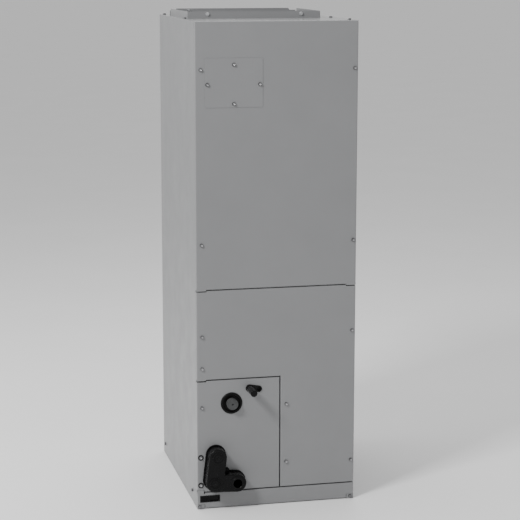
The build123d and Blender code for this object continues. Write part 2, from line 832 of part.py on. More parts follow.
# Motor mount: a belly band with three arms to the front inlet plate
band_front = motor_front + 70.0
band_mid = band_front + band_width / 2
band_radius = motor_radius + 0.05
plate_face = housing_front - sheet
with BuildPart() as motor_mount:
    with BuildSketch(side_plane(band_front + band_width)):
        with Locations((wheel_x, wheel_z)):
            Circle(band_radius + band_thickness)
            Circle(band_radius, mode=Mode.SUBTRACT)
    extrude(amount=band_width)
    for angle in (90, 210, 330):
        direction = (cos(radians(angle)), sin(radians(angle)))
        near = band_radius + band_thickness / 2
        points = [
            (wheel_x + near * direction[0], band_mid, wheel_z + near * direction[1]),
            (wheel_x + arm_reach * direction[0], band_mid, wheel_z + arm_reach * direction[1]),
            (wheel_x + arm_reach * direction[0], plate_face - sheet, wheel_z + arm_reach * direction[1]),
        ]
        pipe(arm_radius, points, [8.0])
        foot = points[2]
        rod(10.0, foot, (foot[0], plate_face, foot[2]))
save(motor_mount.part, "motor_mount")

# Motor lead: up through a grommet in the deck, then across to the control board's socket
lead_foot_z = wheel_z + sqrt(motor_radius**2 - lead_radius**2) + 0.1
lead_bend = 0.65 * (board_x[0] - lead_x)
with BuildPart() as motor_lead:
    pipe(
        lead_radius,
        [(lead_x, lead_y, lead_foot_z), (lead_x, lead_y, lead_end_z), (board_x[0], lead_y, lead_end_z)],
        [lead_bend],
    )
save(motor_lead.part, "motor_lead")

with BuildPart() as lead_grommet:
    rod(lead_hole_radius - 0.1, (lead_x, lead_y, deck_height - 3.0), (lead_x, lead_y, deck_over + 3.0))
    rod(lead_hole_radius + 3.0, (lead_x, lead_y, deck_over), (lead_x, lead_y, deck_over + 3.0))
    rod(lead_hole_radius + 3.0, (lead_x, lead_y, deck_height - 3.0), (lead_x, lead_y, deck_height))
    rod(
        lead_radius + 0.1,
        (lead_x, lead_y, deck_height - 5.0),
        (lead_x, lead_y, deck_over + 5.0),
        mode=Mode.SUBTRACT,
    )
save(lead_grommet.part, "lead_grommet")

# Cooling coil: two leaning slabs
with BuildPart() as coil_slabs:
    for side in (-1, 1):
        foot = (side * slab_foot_x, slab_mid_y, slab_foot_z)
        with Locations(Location(foot, (0, -side * slab_tilt, 0))):
            Box(slab_thickness, slab_depth, slab_length, align=standing)
save(coil_slabs.part, "coil_slabs")

# End plates of the coil, across both slabs and the gap between them
half_slab = slab_thickness / 2
slab_back = slab_front + slab_depth
plate_corners = [
    slab_point(side, outward, up, 0)
    for side, outward, up in (
        (-1, half_slab, 0),
        (-1, half_slab, slab_length),
        (1, half_slab, slab_length),
        (1, half_slab, 0),
        (1, -half_slab, 0),
        (-1, -half_slab, 0),
    )
]
with BuildPart() as coil_end_plates:
    for y in (slab_front, slab_back + coil_plate):
        with BuildSketch(side_plane(y)):
            with BuildLine():
                Polyline(*[(x, z) for x, _, z in plate_corners], close=True)
            make_face()
        extrude(amount=coil_plate)
save(coil_end_plates.part, "coil_end_plates")

# Folded cap over the coil's apex
with BuildPart() as coil_apex_cap:
    for side in (-1, 1):
        top = slab_point(side, 0, slab_length, slab_mid_y)
        with Locations(Location(top, (0, -side * slab_tilt, 0))):
            cap_reach = half_slab + apex_gap
            with Locations((side * (half_slab + sheet - cap_reach) / 2, 0, 0)):
                Box(cap_reach + half_slab + sheet, slab_depth, sheet, align=standing)
            with Locations((side * (half_slab + sheet / 2), 0, -12.0)):
                Box(sheet, slab_depth, 12.0 + sheet, align=standing)
save(coil_apex_cap.part, "coil_apex_cap")

# Return bends on both ends of the slabs
with BuildPart(mode=Mode.PRIVATE) as bend:
    for x in (-tube_pitch / 2, tube_pitch / 2):
        rod(tube_radius, (x, 0, 0), (x, 0, bend_reach))
    with BuildSketch(Plane.XY.offset(bend_reach)):
        with Locations((tube_pitch / 2, 0)):
            Circle(tube_radius)
    revolve(axis=Axis((0, 0, bend_reach), (0, -1, 0)), revolution_arc=180)

row_offset = slab_thickness / 4
bends_per_row = floor((slab_length - tube_pitch) / (2 * tube_pitch))
bend_places = []
for side in (-1, 1):
    for outward in (-row_offset, row_offset):
        for step in range(bends_per_row):
            for y, z_dir, shift in (
                (slab_front - coil_plate, (0, -1, 0), 0),
                (slab_back + coil_plate, (0, 1, 0), tube_pitch),
            ):
                up = 1.5 * tube_pitch + 2 * step * tube_pitch + shift / 2
                place = slab_point(side, outward, up, y)
                x_dir = (-side * tilt_sin, 0, tilt_cos)
                bend_places.append(Plane(origin=place, x_dir=x_dir, z_dir=z_dir))
with BuildPart() as return_bends:
    with Locations(bend_places):
        add(bend.part)
save(return_bends.part, "return_bends")

# Suction line: a header on each slab, the pipe between them and the stub through the panel
coil_face = slab_front - coil_plate
header_y = coil_face - header_offset
header_x = half_width - suction_spot[0]
suction_tip = front_y - suction_reach
with BuildPart() as suction_line:
    pipe(
        suction_radius,
        [
            (-header_x, header_y, header_top),
            (-header_x, header_y, header_foot),
            (header_x, header_y, header_foot),
            (header_x, header_y, header_top),
        ],
        [header_bend, header_bend],
    )
    rod(suction_radius, (-header_x, header_y, suction_spot[1]), (-header_x, suction_tip, suction_spot[1]))
    rod(
        suction_radius - 1.1,
        (-header_x, suction_tip + 30.0, suction_spot[1]),
        (-header_x, suction_tip, suction_spot[1]),
        mode=Mode.SUBTRACT,
    )
    for side in (-1, 1):
        for step in range(3):
            z = feeder_foot + step * feeder_pitch
            slab_x = slab_point(side, 0, (z - slab_foot_z) / tilt_cos, 0)[0]
            pipe(
                tube_radius,
                [(side * header_x, header_y, z), (slab_x, header_y, z), (slab_x, coil_face, z)],
                [feeder_bend],
            )
save(suction_line.part, "suction_line")

# Liquid line with its metering device, distributor and feeder tubes
liquid_x = across(liquid_spot[0])
liquid_y = header_y - 6.0
device_foot = liquid_spot[1] + 34.0
device_height = 40.0
feeder_radius = 2.4
feeder_spread = 5.0
with BuildPart() as liquid_line:
    pipe(
        liquid_radius,
        [
            (liquid_x, front_y - liquid_reach, liquid_spot[1]),
            (liquid_x, liquid_y, liquid_spot[1]),
            (liquid_x, liquid_y, device_foot),
        ],
        [14.0],
    )
    feeders = ((1, -1, -1, 80.0), (1, 1, -1, 96.0), (-1, -1, 1, 112.0), (-1, 1, 1, 128.0))
    for dx, dy, side, rise in feeders:
        feeder_z = liquid_spot[1] + rise + 40.0
        slab_x = slab_point(side, 0, (feeder_z - slab_foot_z) / tilt_cos, 0)[0]
        feeder_x = liquid_x + dx * feeder_spread
        feeder_y = liquid_y + dy * feeder_spread
        pipe(
            feeder_radius,
            [
                (feeder_x, feeder_y, device_foot + device_height),
                (feeder_x, feeder_y, feeder_z),
                (slab_x, feeder_y, feeder_z),
                (slab_x, coil_face, feeder_z),
            ],
            [8.0, 8.0],
        )
save(liquid_line.part, "liquid_line")

with BuildPart() as metering_device:
    with BuildSketch(Plane.XY.offset(device_foot)):
        with Locations((liquid_x, liquid_y)):
            RegularPolygon(9.0, 6, major_radius=False)
    extrude(amount=10.0)
    with Locations((liquid_x, liquid_y, device_foot + 10.0)):
        Cylinder(7.0, 18.0, align=standing)
    with Locations((liquid_x, liquid_y, device_foot + 28.0)):
        Cone(7.0, 12.0, device_height - 28.0, align=standing)
save(metering_device.part, "metering_device")

# Drain pan under the coil, with its air opening
pan_half = lined_half - pan_side_gap
pan_foot = coil_rail_height + sheet
with BuildPart() as drain_pan:
    block((-pan_half, pan_half), (pan_front, pan_back), (pan_foot, pan_foot + pan_height))
    block(
        (-pan_half + pan_wall, pan_half - pan_wall),
        (pan_front + pan_wall, pan_back - pan_wall),
        (pan_floor, pan_foot + pan_height),
        mode=Mode.SUBTRACT,
    )
    hole_half = pan_hole_width / 2
    block(
        (-hole_half - pan_wall, hole_half + pan_wall),
        (pan_hole_front - pan_wall, pan_hole_back + pan_wall),
        (pan_foot, pan_foot + pan_inner_height),
    )
    block(
        (-hole_half, hole_half),
        (pan_hole_front, pan_hole_back),
        (pan_foot, pan_foot + pan_height),
        mode=Mode.SUBTRACT,
    )
save(drain_pan.part, "drain_pan")

# Second drain pan, used when the cabinet lies on its side
with BuildPart() as side_drain_pan:
    side_x = (-pan_half, -pan_half + side_pan_depth)
    side_z = (side_pan_foot, side_pan_foot + side_pan_height)
    block(side_x, (pan_front, pan_back), side_z)
    block(
        (side_x[0] + pan_wall, side_x[1]),
        (pan_front + pan_wall, pan_back - pan_wall),
        (side_z[0] + pan_wall, side_z[1] - pan_wall),
        mode=Mode.SUBTRACT,
    )
save(side_drain_pan.part, "side_drain_pan")


# Drain connector: an L shaped moulding with three ports, outside the fitting panel
def drain_outline(inset):
    """The L shaped outline of the connector, drawn in by a distance."""
    corner = (across(drain_corner[0]), drain_corner[1])
    for end in ((across(drain_top[0]), drain_top[1]), (across(drain_right[0]), drain_right[1])):
        middle = ((corner[0] + end[0]) / 2, (corner[1] + end[1]) / 2)
        leg = Vector(end[0] - corner[0], end[1] - corner[1])
        turn = degrees(atan2(leg.Y, leg.X))
        with Locations(Location((middle[0], middle[1], 0), (0, 0, turn))):
            SlotCenterToCenter(leg.length, 2 * (drain_lobe - inset))


spigot_z = pan_floor + drain_spigot_radius + 12.0
spigots = [
    (across(drain_right[0]), spigot_z),
    (across(drain_corner[0] + 4.0), spigot_z),
    (across(drain_top[0]), drain_top[1]),
]
boss_spot = (across(81.0), 109.0)
with BuildPart() as drain_connector:
    with BuildSketch(front):
        drain_outline(0)
        with Locations(boss_spot):
            Circle(8.0)
    extrude(amount=drain_plate)
    with BuildSketch(side_plane(front_y - drain_plate)):
        drain_outline(drain_inset)
    extrude(amount=drain_reach - drain_plate)
    fillet(drain_connector.faces().sort_by(Axis.Y)[0].edges(), radius=3.0)
    rod(5.5, (boss_spot[0], front_y, boss_spot[1]), (boss_spot[0], front_y - 14.0, boss_spot[1]))
    for x, z in spigots:
        rod(drain_spigot_radius, (x, front_y, z), (x, pan_front, z))
    port = (across(drain_right[0]), drain_right[1])
    tip = front_y - drain_reach
    rod(drain_port_radius + 4.0, (port[0], tip, port[1]), (port[0], tip - 2.0, port[1]))
    rod(
        drain_port_radius,
        (port[0], tip - 2.0, port[1]),
        (port[0], tip - 2.0 + drain_port_depth, port[1]),
        mode=Mode.SUBTRACT,
    )
save(drain_connector.part, "drain_connector")

# Suction grommet: a rubber ring with a deep recess round the pipe
suction_x = across(suction_spot[0])
suction_z = suction_spot[1]
grommet_lip = 3.2
neck_radius = suction_hole_radius - 0.1
with BuildPart() as suction_grommet:
    with BuildSketch(Plane(origin=(suction_x, front_y, suction_z), x_dir=(1, 0, 0), z_dir=(0, 0, 1))):
        with BuildLine():
            Polyline(
                (suction_radius + 0.1, 7.0),
                (neck_radius, 7.0),
                (neck_radius + 2.0, 4.0),
                (neck_radius + 2.0, sheet),
                (neck_radius, sheet),
                (neck_radius, 0),
                (suction_grommet_radius, 0),
                (suction_grommet_radius, -grommet_lip + 1.2),
                (suction_grommet_radius - 1.2, -grommet_lip),
                (neck_radius - 2.5, -grommet_lip),
                (neck_radius - 4.0, 4.0),
                (suction_radius + 0.1, 4.0),
                close=True,
            )
        make_face()
    revolve(axis=Axis((suction_x, 0, suction_z), (0, 1, 0)))
save(suction_grommet.part, "suction_grommet")

with BuildPart() as suction_cap:
    cap_tip = suction_tip - fit_gap - cap_wall
    cap_foot = cap_tip + suction_cap_length
    rod(suction_cap_radius, (suction_x, cap_foot, suction_z), (suction_x, cap_tip, suction_z))
    fillet(suction_cap.faces().sort_by(Axis.Y)[0].edges(), radius=1.2)
    rod(
        suction_radius + cap_clearance,
        (suction_x, cap_foot, suction_z),
        (suction_x, cap_tip + cap_wall, suction_z),
        mode=Mode.SUBTRACT,
    )
    cap_ends = [(suction_x, y, suction_z) for y in (cap_foot, cap_tip)]
    rod(cap_hole_radius, *cap_ends, mode=Mode.SUBTRACT)
save(suction_cap.part, "suction_cap")


# Liquid grommet: one lobe passes the pipe, the other is a blind pocket
def liquid_outline(inset):
    """The outline round both lobes of the liquid grommet, drawn in by a distance."""
    with Locations((across(liquid_spot[0]), liquid_spot[1])):
        Circle(liquid_grommet_radius - inset)
    with Locations((across(liquid_pocket_spot[0]), liquid_pocket_spot[1])):
        Circle(liquid_pocket_radius - inset)
    make_hull()


with BuildPart() as liquid_grommet:
    with BuildSketch(front):
        liquid_outline(0)
    extrude(amount=3.0)
    fillet(liquid_grommet.faces().sort_by(Axis.Y)[0].edges(), radius=1.2)
    with BuildSketch(side_plane(front_y + 4.0)):
        liquid_outline(2.1)
    extrude(amount=4.0)
    with BuildSketch(side_plane(front_y + 4.0)):
        liquid_outline(0.5)
    extrude(amount=4.0 - sheet)
    pocket = (across(liquid_pocket_spot[0]), liquid_pocket_spot[1])
    pocket_ends = [(pocket[0], y, pocket[1]) for y in (front_y + 2.5, front_y - 3.0)]
    rod(6.0, *pocket_ends, mode=Mode.SUBTRACT)
    rod(
        liquid_radius + 0.1,
        (liquid_x, front_y + 4.0, liquid_spot[1]),
        (liquid_x, front_y - 3.0, liquid_spot[1]),
        mode=Mode.SUBTRACT,
    )
save(liquid_grommet.part, "liquid_grommet")

with BuildPart() as liquid_cap:
    cap_tip = front_y - liquid_reach - fit_gap - cap_wall
    cap_foot = cap_tip + liquid_cap_length
    rod(liquid_cap_radius, (liquid_x, cap_foot, liquid_spot[1]), (liquid_x, cap_tip, liquid_spot[1]))
    fillet(liquid_cap.faces().sort_by(Axis.Y)[0].edges(), radius=1.0)
    rod(
        liquid_radius + cap_clearance,
        (liquid_x, cap_foot, liquid_spot[1]),
        (liquid_x, cap_tip + cap_wall, liquid_spot[1]),
        mode=Mode.SUBTRACT,
    )
save(liquid_cap.part, "liquid_cap")


# Doors
def pan(points, depth=door_depth):
    """A folded sheet steel door: a face with a rounded bend and a return on every side."""
    with BuildPart() as door:
        with BuildSketch(front):
            with BuildLine():
                Polyline(*points, close=True)
            make_face()
        extrude(amount=-depth)
        fillet(door.faces().sort_by(Axis.Y)[0].edges(), radius=door_bend)
        offset(amount=-sheet, openings=door.faces().sort_by(Axis.Y)[-1])
    return door.part


def rectangle(left, right, foot, top):
    """The corners of an upright rectangle."""
    return [(left, foot), (right, foot), (right, top), (left, top)]


face = (front_y, front_y + sheet)
pad_y = (front_y + sheet, front_y + sheet + door_pad)
notch_y = (front_y - sheet, wall_front + sheet)

# Fitting panel: the fixed corner panel that the pipes and the drain pass through
fitting_right = across(fitting_panel_width)
fitting_pan = pan(
    rectangle(-half_width, fitting_right, fitting_panel_foot, fitting_panel_top), door_depth + door_gap
)
corner_notch_top = 55.0
corner_notch_width = 19.5
fitting_flange = 20.0
with BuildPart() as fitting_panel:
    add(fitting_pan)
    stile_x = (fitting_right - 12.0, fitting_right + fitting_flange + 13.0)
    flange_y = (wall_front, inside_front)
    block(stile_x, flange_y, (fitting_panel_foot + 4.0, fitting_panel_top + fitting_flange))
    top_z = (fitting_panel_top - 10.0, fitting_panel_top + fitting_flange)
    block((-half_width + flange_width + fit_gap, stile_x[1]), flange_y, top_z)
    block(
        (-half_width, -half_width + seam_step_length - 2.0),
        notch_y,
        (fitting_panel_top - seam_step, fitting_panel_top),
        mode=Mode.SUBTRACT,
    )
    block(
        (-half_width, -half_width + corner_notch_width),
        notch_y,
        (fitting_panel_foot, corner_notch_top),
        mode=Mode.SUBTRACT,
    )
    holes(on_front(fitting_panel_spots), (0, -1, 0))
    holes(on_front(stile_spots, wall_front), (0, -1, 0), depth=2 * sheet)
    for x, z in spigots:
        rod(drain_spigot_radius + drain_hole_gap, (x, face[0], z), (x, face[1], z), mode=Mode.SUBTRACT)
    suction_ends = [(suction_x, y, suction_z) for y in face]
    rod(suction_hole_radius, *suction_ends, mode=Mode.SUBTRACT)
    with BuildSketch(front):
        liquid_outline(2.0)
    extrude(amount=-sheet, mode=Mode.SUBTRACT)
save(fitting_panel.part, "fitting_panel")

# Blower access panel with its breaker opening
blower_pan = pan(rectangle(-half_width, half_width, blower_panel_foot, cabinet_height))
breaker_x = across(cover_left + (cover_width - breaker_hole_width) / 2)
breaker_z = cover_foot + 20.0
with BuildPart() as blower_access_panel:
    add(blower_pan)
    for side in (-1, 1):
        tab_x = (side * half_width, side * (half_width - seam_step_length + 1.0))
        block(tab_x, face, (blower_panel_foot - seam_step, blower_panel_foot + door_bend))
        slit_z = cabinet_height - corner_slit[2]
        block(
            (side * half_width, side * inner_half),
            (front_y + door_depth - corner_slit[0], front_y + door_depth),
            (slit_z - corner_slit[1], slit_z),
            mode=Mode.SUBTRACT,
        )
    block(
        (breaker_x, breaker_x + breaker_hole_width),
        face,
        (breaker_z, breaker_z + breaker_hole_height),
        mode=Mode.SUBTRACT,
    )
    holes(on_front(blower_panel_spots + cover_spots), (0, -1, 0), depth=2 * sheet)
save(blower_access_panel.part, "blower_access_panel")

with BuildPart() as blower_panel_pad:
    pad_x = half_width - door_pad_margin
    block((-pad_x, pad_x), pad_y, (blower_panel_foot + 24.0, deck_height))
save(blower_panel_pad.part, "blower_panel_pad")

with BuildPart() as blower_panel_screws:
    screws(on_front(blower_panel_spots), (0, -1, 0))
save(blower_panel_screws.part, "blower_panel_screws")

# Breaker cover
cover_y = (front_y - sheet, front_y)
with BuildPart() as breaker_cover:
    block(
        (across(cover_left), across(cover_left + cover_width)),
        cover_y,
        (cover_foot, cover_foot + cover_height),
    )
    fillet(breaker_cover.edges().filter_by(Axis.Y), radius=2.0)
    holes(on_front(cover_spots, cover_y[0]), (0, -1, 0), radius=screw_shank + fit_gap, depth=2 * sheet)
save(breaker_cover.part, "breaker_cover")

with BuildPart() as breaker_cover_screws:
    screws(on_front(cover_spots, cover_y[0]), (0, -1, 0))
save(breaker_cover_screws.part, "breaker_cover_screws")

# Coil access panel, L shaped round the fitting panel
inner_corner_x = fitting_right + door_seam
inner_corner_z = fitting_panel_top + door_seam
coil_pan = pan(
    [
        (inner_corner_x, fitting_panel_foot),
        (half_width, fitting_panel_foot),
        (half_width, coil_panel_top),
        (-half_width, coil_panel_top),
        (-half_width, inner_corner_z),
        (inner_corner_x, inner_corner_z),
    ]
)
with BuildPart() as coil_access_panel:
    add(coil_pan)
    for side in (-1, 1):
        block(
            (side * half_width, side * (half_width - seam_step_length)),
            notch_y,
            (coil_panel_top - seam_step, coil_panel_top),
            mode=Mode.SUBTRACT,
        )
    tab_z = (inner_corner_z - seam_step + 1.0, inner_corner_z + door_bend)
    block((-half_width, -half_width + seam_step_length - 3.0), face, tab_z)
    holes(on_front(coil_panel_spots + stile_spots), (0, -1, 0), depth=2 * sheet)
save(coil_access_panel.part, "coil_access_panel")

with BuildPart() as coil_panel_pad:
    upper_foot = inner_corner_z + fitting_flange + 4.0
    block((-pad_x, pad_x), pad_y, (upper_foot, coil_panel_top - 24.0))
    block((stile_x[1] + 6.0, pad_x), pad_y, (fitting_panel_foot + 14.0, upper_foot))
save(coil_panel_pad.part, "coil_panel_pad")

with BuildPart() as coil_panel_screws:
    screws(on_front(coil_panel_spots + stile_spots), (0, -1, 0))
save(coil_panel_screws.part, "coil_panel_screws")

# Filter
filter_foot = base_height + sheet + fit_gap
filter_z = (filter_foot, filter_foot + filter_thickness)
filter_half = filter_width / 2
filter_front = inside_front + 2.0
filter_y = (filter_front, filter_front + filter_length)
media_y = (filter_y[0] + filter_border, filter_y[1] - filter_border)
media_half = filter_half - filter_border
with BuildPart() as filter_frame:
    block((-filter_half, filter_half), filter_y, filter_z)
    block((-media_half, media_half), media_y, filter_z, mode=Mode.SUBTRACT)
save(filter_frame.part, "filter_frame")

pleat_pitch = (media_y[1] - media_y[0]) / pleat_count
pleat_rise = 2 * pleat_wall
pleat_low = filter_z[0] + 1.0
pleat_high = filter_z[1] - 1.0 - pleat_rise
zigzag = [
    (media_y[0] + step * pleat_pitch / 2, pleat_high if step % 2 else pleat_low)
    for step in range(2 * pleat_count + 1)
]
with BuildPart() as filter_media:
    with BuildSketch(Plane(origin=(-media_half, 0, 0), x_dir=(0, 1, 0), z_dir=(1, 0, 0))):
        with BuildLine():
            Polyline(*zigzag, *[(y, z + pleat_rise) for y, z in reversed(zigzag)], close=True)
        make_face()
    extrude(amount=2 * media_half)
save(filter_media.part, "filter_media")

# Filter door, notched round the base frame's corner tabs and round the latch
filter_pan = pan(rectangle(-half_width, half_width, filter_door_foot, filter_door_top))
latch_x = across(latch_left)
latch_rim = 0.6
latch_body_x = (latch_x + latch_rim, latch_x + latch_width - latch_rim)
latch_body_z = (latch_foot + latch_rim, latch_foot + latch_height - latch_rim)
with BuildPart() as filter_door:
    add(filter_pan)
    for side in (-1, 1):
        block(
            (side * half_width, side * (half_width - corner_tab - 1.5)),
            notch_y,
            (0, base_height + 0.6),
            mode=Mode.SUBTRACT,
        )
    block(
        (-half_width, -half_width + corner_notch_width - 1.5),
        face,
        (filter_door_top - door_bend, corner_notch_top - 0.6),
    )
    block(
        (-half_width + corner_notch_width - 1.5, -half_width + corner_notch_width + 1.0),
        notch_y,
        (filter_door_top - seam_step, filter_door_top),
        mode=Mode.SUBTRACT,
    )
    block(
        (latch_body_x[0] - 0.1, latch_body_x[1] + 0.1),
        face,
        (latch_body_z[0] - 0.1, latch_body_z[1] + 0.1),
        mode=Mode.SUBTRACT,
    )
save(filter_door.part, "filter_door")

# Latch: a black bezel with a ribbed slider in its pocket
pocket_x = (latch_body_x[0] + latch_wall, latch_body_x[1] - latch_wall)
pocket_z = (latch_body_z[0] + latch_wall, latch_body_z[1] - latch_wall)
with BuildPart() as latch_bezel:
    block(
        (latch_x, latch_x + latch_width),
        (front_y - latch_proud, front_y),
        (latch_foot, latch_foot + latch_height),
    )
    block(latch_body_x, (front_y, front_y + latch_depth), latch_body_z)
    pocket_floor = front_y - latch_proud + latch_pocket
    block(pocket_x, (front_y - latch_proud, pocket_floor), pocket_z, mode=Mode.SUBTRACT)
save(latch_bezel.part, "latch_bezel")

with BuildPart() as latch_slider:
    slider_x = (pocket_x[0] + fit_gap, pocket_x[0] + fit_gap + latch_slider_width)
    slider_z = (pocket_z[0] + fit_gap, pocket_z[1] - fit_gap)
    slider_y = (front_y - latch_proud + 0.2, pocket_floor - fit_gap)
    block(slider_x, slider_y, slider_z)
    rib_pitch = (slider_z[1] - slider_z[0]) / 5
    for step in range(4):
        groove_z = slider_z[0] + (step + 1) * rib_pitch
        block(
            (slider_x[0] + 2.0, slider_x[1] - 2.0),
            (slider_y[0], slider_y[0] + 0.8),
            (groove_z - 0.5, groove_z + 0.5),
            mode=Mode.SUBTRACT,
        )
save(latch_slider.part, "latch_slider")

# Screws of the cabinet and of the duct collar
with BuildPart() as cabinet_screws:
    screws(on_front(fitting_panel_spots), (0, -1, 0))
    screws(on_front(base_spots, front_y + 0.4), (0, -1, 0))
    screws(top_screw_points, (0, 0, 1))
    screws(back_screw_points, (0, 1, 0))
    for side in (-1, 1):
        screws([(side * half_width, y, z) for y, z in side_screw_spots], (side, 0, 0))
    screws(heater_screw_points, (0, -1, 0))
save(cabinet_screws.part, "cabinet_screws")

with BuildPart() as collar_screws:
    screws(collar_screw_points, (0, -1, 0))
save(collar_screws.part, "collar_screws")
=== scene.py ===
import bpy
import bmesh
import json
from math import cos, pi, radians, sin
from mathutils import Matrix, Vector


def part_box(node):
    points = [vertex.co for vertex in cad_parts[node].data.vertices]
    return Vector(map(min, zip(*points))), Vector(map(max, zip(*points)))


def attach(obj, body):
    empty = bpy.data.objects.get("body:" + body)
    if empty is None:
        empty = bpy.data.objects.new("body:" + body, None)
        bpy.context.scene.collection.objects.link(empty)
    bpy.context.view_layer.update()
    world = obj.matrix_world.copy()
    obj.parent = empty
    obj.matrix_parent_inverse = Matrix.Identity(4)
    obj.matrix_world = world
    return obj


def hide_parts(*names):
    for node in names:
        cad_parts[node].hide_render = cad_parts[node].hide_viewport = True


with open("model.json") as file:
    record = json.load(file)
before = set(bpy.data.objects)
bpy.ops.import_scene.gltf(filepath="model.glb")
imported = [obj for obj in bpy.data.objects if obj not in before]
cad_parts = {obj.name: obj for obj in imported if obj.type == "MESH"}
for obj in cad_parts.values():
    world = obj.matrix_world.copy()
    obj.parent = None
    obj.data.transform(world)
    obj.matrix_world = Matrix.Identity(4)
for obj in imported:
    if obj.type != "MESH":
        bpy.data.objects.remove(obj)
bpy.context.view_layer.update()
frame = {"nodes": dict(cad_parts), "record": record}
nodes = frame["nodes"]


# Materials
def shader(name, colour, rough, metallic=0.0):
    """A new material with its node tree, its Principled shader and its Object coordinates."""
    mat = bpy.data.materials.new(name)
    mat.use_nodes = True
    tree = mat.node_tree
    bsdf = tree.nodes["Principled BSDF"]
    bsdf.inputs["Base Color"].default_value = (*colour, 1.0)
    bsdf.inputs["Roughness"].default_value = rough
    bsdf.inputs["Metallic"].default_value = metallic
    coords = tree.nodes.new("ShaderNodeTexCoord").outputs["Object"]
    return mat, tree, bsdf, coords


def noise(tree, coords, scale, detail=4.0, roughness=0.55):
    """A noise texture's factor."""
    node = tree.nodes.new("ShaderNodeTexNoise")
    node.inputs["Scale"].default_value = scale
    node.inputs["Detail"].default_value = detail
    node.inputs["Roughness"].default_value = roughness
    tree.links.new(coords, node.inputs["Vector"])
    return node.outputs["Fac"]


def spread(tree, factor, low, high, start=0.3, end=0.7):
    """A factor mapped to a range of values."""
    node = tree.nodes.new("ShaderNodeMapRange")
    for key, value in (("From Min", start), ("From Max", end), ("To Min", low), ("To Max", high)):
        node.inputs[key].default_value = value
    tree.links.new(factor, node.inputs["Value"])
    return node.outputs["Result"]


def ramp(tree, factor, stops):
    """A colour ramp from (place, colour) stops."""
    node = tree.nodes.new("ShaderNodeValToRGB")
    elements = node.color_ramp.elements
    elements[0].position, elements[0].color = stops[0][0], (*stops[0][1], 1.0)
    elements[1].position, elements[1].color = stops[-1][0], (*stops[-1][1], 1.0)
    for place, colour in stops[1:-1]:
        elements.new(place).color = (*colour, 1.0)
    tree.links.new(factor, node.inputs["Fac"])
    return node.outputs["Color"]


def bump(tree, bsdf, height, strength, distance, base=None):
    """A bump on the shader's normal, on top of another where one is given."""
    node = tree.nodes.new("ShaderNodeBump")
    node.inputs["Strength"].default_value = strength
    node.inputs["Distance"].default_value = distance
    tree.links.new(height, node.inputs["Height"])
    if base:
        tree.links.new(base, node.inputs["Normal"])
    tree.links.new(node.outputs["Normal"], bsdf.inputs["Normal"])
    return node.outputs["Normal"]


def shade(colour, factor):
    return tuple(part * factor for part in colour)


def painted(name, colour, rough=0.4, peel=0.05, wave=0.04):
    """Baked enamel on sheet steel, with a faint orange peel and slow waves of the sheet."""
    mat, tree, bsdf, coords = shader(name, colour, rough)
    cloud = noise(tree, coords, 5.0, 6.0, 0.6)
    tone = ramp(tree, cloud, [(0.25, shade(colour, 0.96)), (0.75, shade(colour, 1.04))])
    tree.links.new(tone, bsdf.inputs["Base Color"])
    sheen = spread(tree, noise(tree, coords, 14.0), rough - 0.05, rough + 0.06)
    tree.links.new(sheen, bsdf.inputs["Roughness"])
    waves = bump(tree, bsdf, noise(tree, coords, 3.0, 1.0), wave, 0.01)
    bump(tree, bsdf, noise(tree, coords, 650.0, 2.0), peel, 0.0004, waves)
    bsdf.inputs["Coat Weight"].default_value = 0.15
    bsdf.inputs["Coat Roughness"].default_value = 0.25
    return mat


def galvanised(name, colour=(0.52, 0.53, 0.54), rough=0.42, scale=70.0):
    """Zinc coated steel with the flakes of its spangle."""
    mat, tree, bsdf, coords = shader(name, colour, rough, 1.0)
    flakes = tree.nodes.new("ShaderNodeTexVoronoi")
    flakes.inputs["Scale"].default_value = scale
    warp = tree.nodes.new("ShaderNodeMixRGB")
    warp.inputs["Fac"].default_value = 0.03
    tree.links.new(coords, warp.inputs["Color1"])
    tree.links.new(noise(tree, coords, 60.0), warp.inputs["Color2"])
    tree.links.new(warp.outputs["Color"], flakes.inputs["Vector"])
    split = tree.nodes.new("ShaderNodeSeparateColor")
    tree.links.new(flakes.outputs["Color"], split.inputs["Color"])
    tone = ramp(tree, split.outputs["Red"], [(0.0, shade(colour, 0.82)), (1.0, shade(colour, 1.12))])
    tree.links.new(tone, bsdf.inputs["Base Color"])
    sheen = spread(tree, split.outputs["Green"], rough - 0.1, rough + 0.1, 0, 1)
    tree.links.new(sheen, bsdf.inputs["Roughness"])
    bump(tree, bsdf, split.outputs["Blue"], 0.04, 0.0005)
    return mat


def moulded(name, colour, rough, grain=900.0, depth=0.12):
    """Moulded plastic or rubber with a fine grain and handling marks."""
    mat, tree, bsdf, coords = shader(name, colour, rough)
    tone = ramp(tree, noise(tree, coords, 40.0), [(0.3, shade(colour, 0.8)), (0.7, shade(colour, 1.25))])
    tree.links.new(tone, bsdf.inputs["Base Color"])
    sheen = spread(tree, noise(tree, coords, 90.0), rough - 0.08, rough + 0.1)
    tree.links.new(sheen, bsdf.inputs["Roughness"])
    bump(tree, bsdf, noise(tree, coords, grain, 2.0), depth, 0.0004)
    bsdf.inputs["Specular IOR Level"].default_value = 0.13
    return mat


def metal(name, colour, rough, scale=250.0):
    """Bare metal with a fine grain and a slow change of tone."""
    mat, tree, bsdf, coords = shader(name, colour, rough, 1.0)
    tone = ramp(tree, noise(tree, coords, 22.0, 5.0), [(0.3, shade(colour, 0.8)), (0.7, shade(colour, 1.08))])
    tree.links.new(tone, bsdf.inputs["Base Color"])
    sheen = spread(tree, noise(tree, coords, 60.0), rough - 0.08, rough + 0.1)
    tree.links.new(sheen, bsdf.inputs["Roughness"])
    bump(tree, bsdf, noise(tree, coords, scale, 3.0), 0.06, 0.0003)
    return mat


